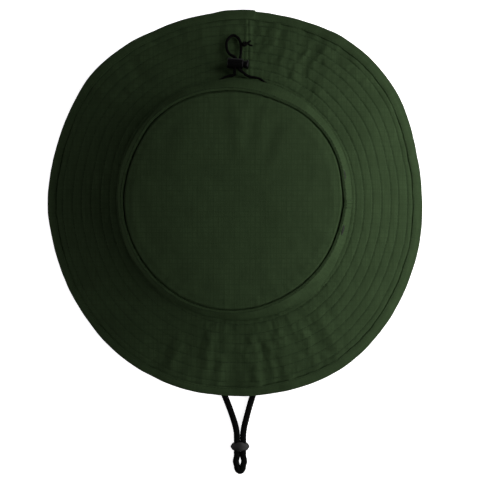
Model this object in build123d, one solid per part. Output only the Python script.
from build123d import *
import math
import os

# Boonie hat in millimetres, +Z up. The origin is the centre of the head opening, in the
# plane where the crown meets the brim. The front (chin cord slider) is -Y and the back
# (elastic adjuster) is +Y. "Right" is +X and "left" is -X.

# -------------------------------------------------------------- main dimensions
CROWN_HALF_WIDTH = 95.5   # outside of the crown base along X
CROWN_HALF_LENGTH = 99.0  # outside of the crown base along Y
CROWN_H = 88.0
TIP_R = 84.1              # flat top piece
TIP_SHIFT = -2.5          # Y offset of the top piece, towards the front
CLOTH = 0.8               # crown cloth thickness
WALL_TOP = CROWN_H - CLOTH
SEAM_RIGHT = -2.4         # side seam directions, degrees about Z
SEAM_LEFT = 190.0

# brim edge: radius and height every 15 degrees, counter-clockwise from +X
BRIM_R = [157.7, 157.95, 161.55, 162.95, 162.3, 159.9, 158.95, 157.9,
          158.15, 159.75, 158.6, 157.1, 157.4, 157.85, 159.25, 161.7,
          163.4, 164.5, 165.5, 166.15, 167.55, 165.15, 161.85, 159.55]
BRIM_Z = [-29.8, -29.0, -20.8, -16.5, -20.0, -26.9, -28.6, -29.9,
          -28.2, -23.6, -26.3, -29.2, -28.2, -29.9, -29.4, -27.0,
          -24.8, -24.7, -25.2, -21.6, -19.4, -19.7, -24.5, -28.0]
BRIM_LAP = 4.0            # reach of the brim cloth inside the crown's outside
# brim layers from the top down: name, thickness, reach inside the crown's outside
BRIM_LAYERS = (("brim_top_cloth", 0.6, BRIM_LAP),
               ("brim_stiffener", 0.8, BRIM_LAP - 1.5),
               ("brim_under_cloth", 0.6, BRIM_LAP))
BRIM_BOTTOM = -sum(thickness for _, thickness, _ in BRIM_LAYERS)
BIND_T = 0.5              # binding tape thickness

# places across the brim are fractions u: 0 at the crown, 1 at the edge
BIND_U = 0.894            # inner edge of the binding
BRIM_KNOTS = [0.0, 0.3, 0.6, BIND_U, 1.0]
STITCH_U = (0.057, 0.184, 0.305, 0.435, 0.567, 0.677, 0.804)
BIND_STITCH_U = 0.912
STITCH_W = 0.5
STITCH_T = 0.25
NOMINAL_BRIM_WIDTH = 62.0
STITCH_HALF_U = STITCH_W / 2 / NOMINAL_BRIM_WIDTH
BIND_STITCH_GAP = 0.06    # between the binding tape and its thread

STATIONS = 24             # points on every closed ring
RING_ANGLES = [2 * math.pi * i / STATIONS for i in range(STATIONS)]
RING_PARAMS = [i / STATIONS for i in range(STATIONS + 1)]


# ---------------------------------------------------------------------- helpers
def save(name, *shapes):
    """Write the solids of the shapes as one piece."""
    solids = [solid for shape in shapes for solid in shape.solids()]
    piece = Compound(solids) if len(solids) > 1 else solids[0]
    export_step(piece, "parts/" + name + ".step")


def crown_point(angle, z, inset=0.0):
    """Point on the straight slant from the oval base to the round top piece."""
    rise = z / CROWN_H
    base_r = 1 / math.sqrt((math.cos(angle) / CROWN_HALF_WIDTH) ** 2
                           + (math.sin(angle) / CROWN_HALF_LENGTH) ** 2)
    r = base_r + (TIP_R - base_r) * rise - inset
    return Vector(r * math.cos(angle), TIP_SHIFT * rise + r * math.sin(angle), z)


def closed_curve(points):
    return Edge.make_spline(points, periodic=True, parameters=RING_PARAMS)


def crown_ring(z, inset=0.0, lift=0.0):
    """Ring of the crown's outline at z, then moved vertically by lift."""
    return closed_curve([crown_point(a, z, inset) + Vector(0, 0, lift) for a in RING_ANGLES])


def droop(u):
    """Share of the edge's height at u: steeper outwards, straight between knots."""
    for start, end in zip(BRIM_KNOTS, BRIM_KNOTS[1:]):
        if u <= end:
            fall_0, fall_1 = [0.85 * knot + 0.15 * knot * knot for knot in (start, end)]
            return fall_0 + (fall_1 - fall_0) * (u - start) / (end - start)


def brim_ring(u, dz=0.0, grow=-BIND_T):
    """Ring across the brim at u, dz above the top face; grow widens the edge radius."""
    points = []
    for angle, edge_r, edge_z in zip(RING_ANGLES, BRIM_R, BRIM_Z):
        base = crown_point(angle, 0.0)
        r = edge_r + grow
        points.append(Vector(base.X + (r * math.cos(angle) - base.X) * u,
                             base.Y + (r * math.sin(angle) - base.Y) * u,
                             edge_z * droop(u) + dz))
    return closed_curve(points)


def ring_solid(rings):
    """Closed solid whose cross section has its corners on the rings, in order."""
    faces = [Face.make_surface_from_curves(a, b) for a, b in zip(rings, rings[1:] + rings[:1])]
    solid = Solid(Shell(faces))
    if solid.volume < 0:
        solid = Solid(Shell([-face for face in faces]))
    return solid


def crown_band(z0, z1, inset0, inset1):
    return ring_solid([crown_ring(z0, inset0), crown_ring(z1, inset0),
                       crown_ring(z1, inset1), crown_ring(z0, inset1)])


def slab(angle, half_width, shift=0.0, height=90.0):
    """Upright slab from the axis outwards, shifted sideways."""
    box = Box(130, 2 * half_width, height, align=(Align.MIN, Align.CENTER, Align.MIN))
    return Rot(0, 0, angle) * Pos(0, shift, 0) * box


def turned(profile):
    """Revolve (radius, height) points about Z."""
    return revolve(Plane.XZ * make_face(Polyline(*profile, close=True)), Axis.Z)


def cord_spline(points, start_dir, end_dir):
    return Edge.make_spline(points, tangents=[start_dir, end_dir], scale=False)


def tube(path, r, frenet=False):
    profile = Plane(origin=path.position_at(0), z_dir=path.tangent_at(0)) * Circle(r)
    return sweep(profile, path=path, is_frenet=frenet)


# ----------------------------------------------------------- crown and eyelets
EYELET_ANGLES = (13.0, -16.0, 175.0, 204.0)
EYELET_Z = 55.0
EYELET_BORE_R = 2.0
EYELET_FLANGE_R = 4.5
EYELET_HOLE_R = 2.6       # hole in the cloth

HINGE_Z = 2.6             # height of the adjuster's hinge line
EXIT_ANGLES = (96.9, 75.0)       # slots where the elastic comes out
EXIT_SLOT = (7, 15.0, 3.6)       # radial, sideways, vertical


def crown_tip():
    return extrude(Face(Wire([crown_ring(WALL_TOP)])), CLOTH, dir=(0, 0, 1))


def wall_plane(angle, z):
    """Plane on the crown's outside: x along the wall, z outwards."""
    t = math.radians(angle)
    around = crown_point(t + 0.001, z) - crown_point(t - 0.001, z)
    upward = crown_point(t, z + 0.5) - crown_point(t, z - 0.5)
    return Plane(origin=crown_point(t, z), x_dir=around.normalized(),
                 z_dir=around.cross(upward).normalized())


EYELET_PLANES = [wall_plane(angle, EYELET_Z) for angle in EYELET_ANGLES]


def crown_wall():
    wall = crown_band(0.0, WALL_TOP, 0.0, CLOTH)
    for plane in EYELET_PLANES:
        wall = wall - plane * Cylinder(EYELET_HOLE_R, 8)
    for angle in EXIT_ANGLES:
        p = crown_point(math.radians(angle), HINGE_Z)
        wall = wall - Pos(p.X, p.Y, HINGE_Z) * Rot(0, 0, angle) * Box(*EXIT_SLOT)
    return wall


def back_sector():
    """Block that covers the crown behind the two side seams."""
    r = 168.0
    bottom, top = -5.0, 95.0
    steps = 12
    points = [(0, TIP_SHIFT / 2)]
    for k in range(steps + 1):
        a = math.radians(SEAM_RIGHT + (SEAM_LEFT - SEAM_RIGHT) * k / steps)
        points.append((r * math.cos(a), r * math.sin(a)))
    outline = Plane.XY.offset(bottom) * make_face(Polyline(*points, close=True))
    return extrude(outline, top - bottom)


def vent_eyelet():
    bore, flange = EYELET_BORE_R, EYELET_FLANGE_R
    inside = -CLOTH       # inner face of the cloth
    return turned([
        (bore, 0.30), (bore + 0.25, 0.72), (bore + 0.8, 1.0),
        (flange - 1.0, 0.85), (flange - 0.25, 0.45), (flange, 0.05),
        (bore + 0.5, 0.05), (bore + 0.5, inside - 0.95),
        (bore + 1.2, inside - 0.95), (bore + 1.2, inside - 1.25),
        (bore + 0.5, inside - 1.45), (bore, inside - 1.2)])


def vent_washer():
    inner_r = EYELET_BORE_R + 0.6
    outer_r = EYELET_FLANGE_R + 0.2
    return turned([(inner_r, -CLOTH - 0.85), (outer_r, -CLOTH - 0.75),
                   (outer_r, -CLOTH - 0.25), (inner_r, -CLOTH - 0.25)])


# ------------------------------------------- crown tapes, lining parts, labels
TIP_TAPE_BOTTOM = 77.0
SWEAT_IN = 4.1            # sweatband outer face, inset from the crown's outside
SWEAT_T = 1.2
SWEAT_TOP = 32.0
SWEAT_DROP = -2.0         # height of its lower edge
TUNNEL_T = 0.6            # drawcord tunnel cloth
TUNNEL_OUT = CLOTH + 0.05        # insets of its outer and inner sides
TUNNEL_IN = 3.95
TUNNEL_BOTTOM = 0.1
TUNNEL_TOP = 10.2


def side_tape(angle):
    band = crown_band(TUNNEL_TOP + 0.2, TIP_TAPE_BOTTOM - 0.1, CLOTH, CLOTH + 0.6)
    return band & slab(angle, 6)


def side_seam_stitching():
    """Two upright rows of thread beside each side seam."""
    band = crown_band(1.6, 84.6, -STITCH_T, 0.0)
    return [band & slab(angle, STITCH_W / 2, shift)
            for angle in (SEAM_RIGHT, SEAM_LEFT) for shift in (-2.4, 2.4)]


def sweatband():
    inner = SWEAT_IN + SWEAT_T
    return ring_solid([crown_ring(0.0, SWEAT_IN, SWEAT_DROP), crown_ring(SWEAT_TOP, SWEAT_IN),
                       crown_ring(SWEAT_TOP, inner), crown_ring(0.0, inner, SWEAT_DROP)])


def drawcord_tunnel():
    """C-shaped channel, open towards the crown wall."""
    profile = (       # z, inset
        (TUNNEL_BOTTOM, TUNNEL_OUT), (TUNNEL_BOTTOM, TUNNEL_IN),
        (TUNNEL_TOP, TUNNEL_IN), (TUNNEL_TOP, TUNNEL_OUT),
        (TUNNEL_TOP - TUNNEL_T, TUNNEL_OUT), (TUNNEL_TOP - TUNNEL_T, TUNNEL_IN - TUNNEL_T),
        (TUNNEL_BOTTOM + TUNNEL_T, TUNNEL_IN - TUNNEL_T),
        (TUNNEL_BOTTOM + TUNNEL_T, TUNNEL_OUT))
    return ring_solid([crown_ring(z, inset) for z, inset in profile])


def size_label():
    """Blank label at the back, inside the sweatband."""
    face = SWEAT_IN + SWEAT_T
    return crown_band(8.0, 26.0, face + 0.3, face + 0.7) & slab(90, 17, height=40.0)


def care_label():
    """Blank label inside the back of the crown."""
    return crown_band(42.0, 74.0, CLOTH + 0.05, CLOTH + 0.5) & slab(90, 19)


# ------------------------------------------------------------------------ brim
def brim_layer(top, bottom, inset):
    upper = [brim_ring(u, top) for u in BRIM_KNOTS]
    lower = [brim_ring(u, bottom) for u in reversed(BRIM_KNOTS)]
    return ring_solid([crown_ring(0.0, inset, top)] + upper
                      + lower + [crown_ring(0.0, inset, bottom)])


def brim_binding():
    """Tape folded around the brim edge."""
    return ring_solid([
        brim_ring(BIND_U, 0.0), brim_ring(1.0, 0.0),
        brim_ring(1.0, BRIM_BOTTOM), brim_ring(BIND_U, BRIM_BOTTOM),
        brim_ring(BIND_U, BRIM_BOTTOM - BIND_T), brim_ring(1.0, BRIM_BOTTOM - BIND_T, 0.0),
        brim_ring(1.0, BIND_T, 0.0), brim_ring(BIND_U, BIND_T)])


def stitch_pair(u, gap=0.0):
    """Rings of thread above and below the brim, gap away from its faces."""
    rows = []
    for bottom in (gap, BRIM_BOTTOM - gap - STITCH_T):
        inner, outer = u - STITCH_HALF_U, u + STITCH_HALF_U
        top = bottom + STITCH_T
        rows.append(ring_solid([brim_ring(inner, bottom), brim_ring(outer, bottom),
                                brim_ring(outer, top), brim_ring(inner, top)]))
    return rows


# ------------------------------------------------ elastic drawcord and adjuster
ELASTIC_R = 1.05
HINGE_L = Vector(-3.0, 101.0, HINGE_Z)   # ends of the adjuster loop's hinge line
HINGE_R = Vector(17.0, 99.4, HINGE_Z)
HINGE_LEN = (HINGE_R - HINGE_L).length
LOOP_TILT = math.radians(24.5)           # slope of the loop over the brim

# adjuster frame: u along the hinge line, v outwards, w away from the brim
U_DIR = (HINGE_R - HINGE_L).normalized()
V_DIR = Vector(0, math.sin(LOOP_TILT), math.cos(LOOP_TILT)).cross(U_DIR).normalized()
W_DIR = U_DIR.cross(V_DIR).normalized()

LOCK_X = 1.8              # world X of the lock's cord hole
LOCK_V = 9.4              # distance of the lock from the hinge line
LOCK_W = 3.9              # height of the lock axis above the loop's plane
LOCK_U = (LOCK_X - HINGE_L.X) / U_DIR.X - LOCK_V * V_DIR.X / U_DIR.X
LOCK_STRAND = 1.7         # half distance between the strands in the lock
LOCK_REACH = 4.5          # straight cord each side of the lock axis
KNOT_SIDE = (1.5, 21.0, 0.25)     # loop point beside the knot, see at_lock
KNOT_R = 2.0


def at_hinge(u, v, w):
    return HINGE_L + U_DIR * u + V_DIR * v + W_DIR * w


def at_lock(du, dv, w):
    """Point with u and v counted from the lock."""
    return at_hinge(LOCK_U + du, LOCK_V + dv, w)


def drawcord():
    """Elastic in the tunnel; its ends leave through the slots onto the hinge line."""
    inset = CLOTH + ELASTIC_R + 0.06
    start, end = 100.6, 360 + 71.2       # degrees, round the front
    steps = 40
    ring = [crown_point(math.radians(start + (end - start) * k / steps), 3.2, inset)
            for k in range(steps + 1)]
    first = HINGE_L - U_DIR * 0.8
    last = HINGE_R + U_DIR * 0.8
    exit_l = crown_point(math.radians(97.0), 2.8, 0.2)
    exit_r = crown_point(math.radians(74.8), 2.8, 0.2)
    path = Wire([
        Edge.make_line(HINGE_L - U_DIR * 0.06, first),
        cord_spline([first, exit_l] + ring + [exit_r, last], U_DIR * -1, U_DIR * -1),
        Edge.make_line(last, HINGE_R + U_DIR * 0.06)])
    return tube(path, ELASTIC_R)


def adjuster_loop():
    """From the left hinge end through the lock, round the loop and back to the right."""
    root_l = at_hinge(0.9, 0, 0)
    root_r = at_hinge(HINGE_LEN - 1.2, 0, 0)
    near_l, far_l = [at_lock(-LOCK_STRAND, dv, LOCK_W) for dv in (-LOCK_REACH, LOCK_REACH)]
    near_r, far_r = [at_lock(LOCK_STRAND, dv, LOCK_W) for dv in (-LOCK_REACH, LOCK_REACH)]
    leg_l = [root_l, at_hinge(2.4, 1.0, 0.5),
             at_hinge(LOCK_U - LOCK_STRAND - 0.05, 3.0, 2.2), near_l]
    loop = [at_lock(*place) for place in (
        (-5.2, 8.5, 2.0), (-9.2, 13.6, 0.6), (-10.4, 20.0, 0.2),
        (-9.1, 25.6, 0.2), (-5.2, 28.9, 0.2), (-1.0, 26.4, 0.2),
        KNOT_SIDE, (2.1, 14.0, 0.7), (2.0, 8.5, 2.2))]
    leg_r = [near_r, at_hinge(8.6, 3.0, 2.6), at_hinge(12.0, 1.3, 1.0),
             at_hinge(15.6, 0.25, 0.15), root_r]
    path = Wire([
        Edge.make_line(at_hinge(0.0, 0, 0), root_l),
        cord_spline(leg_l, U_DIR, V_DIR),
        Edge.make_line(near_l, far_l),
        cord_spline([far_l] + loop + [far_r], V_DIR, V_DIR * -1),
        Edge.make_line(far_r, near_r),
        cord_spline(leg_r, V_DIR * -1, U_DIR),
        Edge.make_line(root_r, at_hinge(HINGE_LEN, 0, 0))])
    return tube(path, ELASTIC_R, frenet=True)


def adjuster_knot():
    """Ball for the knot beside the loop, with two cut ends."""
    centre = at_lock(*KNOT_SIDE) + U_DIR * 3.3 + W_DIR * 0.9
    shapes = [Pos(*tuple(centre)) * Sphere(KNOT_R)]
    tails = ((U_DIR, 0.0, 4.6),           # direction, shift along v, length
             ((U_DIR + V_DIR * 0.6).normalized(), 0.5, 3.4))
    for direction, shift, length in tails:
        origin = centre + direction * (KNOT_R + 0.1) + V_DIR * shift
        plane = Plane(origin=origin, x_dir=W_DIR, z_dir=direction)
        align = (Align.CENTER, Align.CENTER, Align.MIN)
        shapes.append(plane * Cylinder(0.75, length, align=align))
    return shapes


# ------------------------------------------------------------------- cord lock
# lock frame: x = v (cord direction), y = w, z = u (barrel axis)
LOCK_PLANE = Plane(origin=at_lock(0.0, 0.0, LOCK_W), x_dir=V_DIR, z_dir=U_DIR)
BARREL_R = 4.4
BARREL_START, BARREL_END = -8.2, 4.7     # closed and open ends along z
BARREL_MID = (BARREL_START + BARREL_END) / 2
BORE_R = 3.1
BORE_BOTTOM = BARREL_START + 1.0
BORE_CUT_END = BARREL_END + 1            # the bore cutter overshoots the open end
BORE_CUT_MID = (BORE_BOTTOM + BORE_CUT_END) / 2
CORD_SLOT_R = ELASTIC_R + 0.12
CORD_SLOT_HALF = LOCK_STRAND + ELASTIC_R + 0.12
PLUNGER_R = 3.02
PLUNGER_TRAVEL = 2.2
PLUNGER_START = -CORD_SLOT_HALF - 0.9    # leaves a foot below the window
HEAD_BASE = BARREL_END + PLUNGER_TRAVEL + 0.2
SPRING_R = 2.3
SPRING_WIRE_R = 0.2
SPRING_TURNS = 3.0


def cord_slot(half_length, centre_z):
    """Cutter for an oval hole along x, long in z."""
    length = 14
    offset = half_length - CORD_SLOT_R
    round_end = Rot(0, 90, 0) * Cylinder(CORD_SLOT_R, length)
    middle = Box(length, 2 * CORD_SLOT_R, 2 * offset)
    cutter = Pos(0, 0, offset) * round_end + Pos(0, 0, -offset) * round_end + middle
    return Pos(0, 0, centre_z) * cutter


def lock_barrel():
    barrel = Pos(0, 0, BARREL_MID) * Cylinder(BARREL_R, BARREL_END - BARREL_START)
    barrel = fillet(barrel.edges().filter_by(GeomType.CIRCLE), 0.7)
    barrel = barrel - Pos(0, 0, BORE_CUT_MID) * Cylinder(BORE_R, BORE_CUT_END - BORE_BOTTOM)
    barrel = barrel - cord_slot(CORD_SLOT_HALF, 0.0)
    # flat rib along the top, hollowed to sit on the barrel
    rib = Pos(0, BARREL_R + 0.1, BARREL_MID) * Box(2.2, 0.9, 9.0)
    rib = rib - Pos(0, 0, BORE_CUT_MID) * Cylinder(BARREL_R - 0.4, 30)
    return LOCK_PLANE * (barrel + rib)


def lock_plunger():
    plunger = (Pos(0, 0, (PLUNGER_START + HEAD_BASE) / 2)
               * Cylinder(PLUNGER_R, HEAD_BASE - PLUNGER_START))
    head_profile = (      # radius, height above the head's base
        (0, -0.3), (PLUNGER_R, -0.3), (3.9, 0.7), (4.2, 1.3),
        (3.9, 1.8), (2.6, 2.2), (0, 2.3))
    head = turned([(r, HEAD_BASE + height) for r, height in head_profile])
    window_half = (2 * CORD_SLOT_HALF + PLUNGER_TRAVEL + 0.1) / 2
    plunger = plunger - cord_slot(window_half, -CORD_SLOT_HALF + window_half)
    return LOCK_PLANE * (plunger + head)


def lock_spring():
    """Coil between the bottom of the bore and the plunger's foot."""
    bottom = BORE_BOTTOM + SPRING_WIRE_R + 0.05
    height = PLUNGER_START - SPRING_WIRE_R - 0.05 - bottom
    helix = Helix(pitch=height / SPRING_TURNS, height=height, radius=SPRING_R)
    return LOCK_PLANE * (Pos(0, 0, bottom) * tube(helix, SPRING_WIRE_R, frenet=True))


# ------------------------------------------------------------------- chin cord
CORD_R = 2.55
ANCHOR_Z = -8.5
ANCHOR_IN, ANCHOR_OUT = 90.0, 94.2       # |X| of the straight run through each tab
TAB_X = 93.0
END_KNOT_R = 3.5
END_KNOT_X = 96.9
END_KNOT_FACE = 94.25                    # |X| of the knot's flat inner face
SLIDER_X, SLIDER_Y, SLIDER_Z = 4.1, -207.0, -28.2
SLIDER_HALF_W = 8.05
SLIDER_R = 4.25
SLIDER_DEPTH = 1.27       # size along Y as a share of the height
STRAND_SPLIT = 2.62       # half distance between the strands in the slider
SLIDER_RUN = 5.4          # straight cord each side of the slider's centre


def chin_tab(side):
    tab = Pos(side * TAB_X, 0, -7.5) * Box(1.6, 9.0, 11.0)
    lower_edges = tab.edges().filter_by(Axis.X).sort_by(Axis.Z)[:2]
    tab = fillet(lower_edges, 3.6)
    return tab - Pos(side * TAB_X, 0, ANCHOR_Z) * Rot(0, 90, 0) * Cylinder(CORD_R + 0.12, 5)


def chin_cord():
    """Left tab, through the slider, round the end loop and back to the right tab."""
    x_l, x_r = SLIDER_X - STRAND_SPLIT, SLIDER_X + STRAND_SPLIT
    y_back, y_front = SLIDER_Y + SLIDER_RUN, SLIDER_Y - SLIDER_RUN
    anchor_l = Vector(-ANCHOR_IN, 0, ANCHOR_Z)
    anchor_r = Vector(ANCHOR_IN, 0, ANCHOR_Z)
    back_l, front_l = Vector(x_l, y_back, SLIDER_Z), Vector(x_l, y_front, SLIDER_Z)
    back_r, front_r = Vector(x_r, y_back, SLIDER_Z), Vector(x_r, y_front, SLIDER_Z)
    # points shared by both strands: left x, right x, y, z
    strands = ((-83.0, 83.2, -5.0, -9.4), (-79.0, 79.5, -14, -11.2),
               (-62.4, 63.5, -52, -17.5), (-36.5, 39.5, -108, -25.8),
               (-9.9, 15.6, -162, -30.45), (-1.5, 9.3, -184, -30.35),
               (x_l - 0.1, x_r + 0.1, y_back + 5, -29.2))
    strand_l = [Vector(left, y, z) for left, _, y, z in strands]
    strand_r = [Vector(right, y, z) for _, right, y, z in reversed(strands)]
    # end loop in front of the slider: half width, y, z
    end_loop = ((STRAND_SPLIT + 0.15, -217.0, -29.4),
                (STRAND_SPLIT + 0.45, -220.5, -29.9), (2.85, -224.6, -30.05))
    loop_l = [Vector(SLIDER_X - half, y, z) for half, y, z in end_loop]
    loop_r = [Vector(SLIDER_X + half, y, z) for half, y, z in reversed(end_loop)]
    loop_end = Vector(SLIDER_X, -227.8, -30.05)
    right, front, back = Vector(1, 0, 0), Vector(0, -1, 0), Vector(0, 1, 0)
    path = Wire([
        Edge.make_line(Vector(-ANCHOR_OUT, 0, ANCHOR_Z), anchor_l),
        cord_spline([anchor_l] + strand_l + [back_l], right, front),
        Edge.make_line(back_l, front_l),
        cord_spline([front_l] + loop_l + [loop_end] + loop_r + [front_r], front, back),
        Edge.make_line(front_r, back_r),
        cord_spline([back_r] + strand_r + [anchor_r], back, right),
        Edge.make_line(anchor_r, Vector(ANCHOR_OUT, 0, ANCHOR_Z))])
    return tube(path, CORD_R, frenet=True)


def end_knot(side):
    knot = Pos(side * END_KNOT_X, 0, ANCHOR_Z) * Sphere(END_KNOT_R)
    return knot - Pos(side * (END_KNOT_FACE - 5), 0, ANCHOR_Z) * Box(10, 10, 10)


def chin_slider():
    """Lens-shaped toggle, pointed at both ends, with one oval hole for both strands."""
    steps = 24
    shares = [-1 + 2 * k / steps for k in range(steps + 1)]
    profile = [(SLIDER_HALF_W * f, SLIDER_R * (1 - f * f) ** 0.72) for f in shares]
    bead = revolve(make_face(Polyline(*profile, close=True)), Axis.X, 360)
    bead = scale(bead, by=(1.0, SLIDER_DEPTH, 1.0))
    hole_r = CORD_R + 0.1
    length = 14
    round_end = Rot(90, 0, 0) * Cylinder(hole_r, length)
    bead = bead - (Pos(STRAND_SPLIT, 0, 0) * round_end + Pos(-STRAND_SPLIT, 0, 0) * round_end
                   + Box(2 * STRAND_SPLIT, length, 2 * hole_r))
    return Pos(SLIDER_X, SLIDER_Y, SLIDER_Z) * bead


# ----------------------------------------------------------------- build pieces
os.makedirs("parts", exist_ok=True)

save("crown_tip", crown_tip())
wall = crown_wall()
save("crown_side_back", wall & back_sector())
save("crown_side_front", wall - back_sector())
save("tip_seam_tape", crown_band(TIP_TAPE_BOTTOM, WALL_TOP, CLOTH, CLOTH + 0.7))
save("side_seam_tape_right", side_tape(SEAM_RIGHT))
save("side_seam_tape_left", side_tape(SEAM_LEFT))
save("tip_seam_stitching", crown_band(85.2, 85.7, -STITCH_T, 0.0))
save("side_seam_stitching", *side_seam_stitching())
save("vent_eyelets", *[plane * vent_eyelet() for plane in EYELET_PLANES])
save("vent_eyelet_washers", *[plane * vent_washer() for plane in EYELET_PLANES])

layer_top = 0.0
for name, thickness, inset in BRIM_LAYERS:
    save(name, brim_layer(layer_top, layer_top - thickness, inset))
    layer_top -= thickness
save("brim_edge_binding", brim_binding())
save("brim_stitch_rows", *[row for u in STITCH_U for row in stitch_pair(u)])
save("binding_stitching", *stitch_pair(BIND_STITCH_U, BIND_T + BIND_STITCH_GAP))

save("sweatband", sweatband())
save("drawcord_tunnel", drawcord_tunnel())
save("size_label", size_label())
save("care_label", care_label())

save("drawcord_elastic", drawcord())
save("adjuster_cord_loop", adjuster_loop())
save("adjuster_knot", *adjuster_knot())
save("cord_lock_barrel", lock_barrel())
save("cord_lock_plunger", lock_plunger())
save("cord_lock_spring", lock_spring())

save("chin_cord_tab_left", chin_tab(-1))
save("chin_cord_tab_right", chin_tab(1))
save("chin_cord", chin_cord())
save("chin_cord_end_knots", end_knot(-1), end_knot(1))
save("chin_slider", chin_slider())
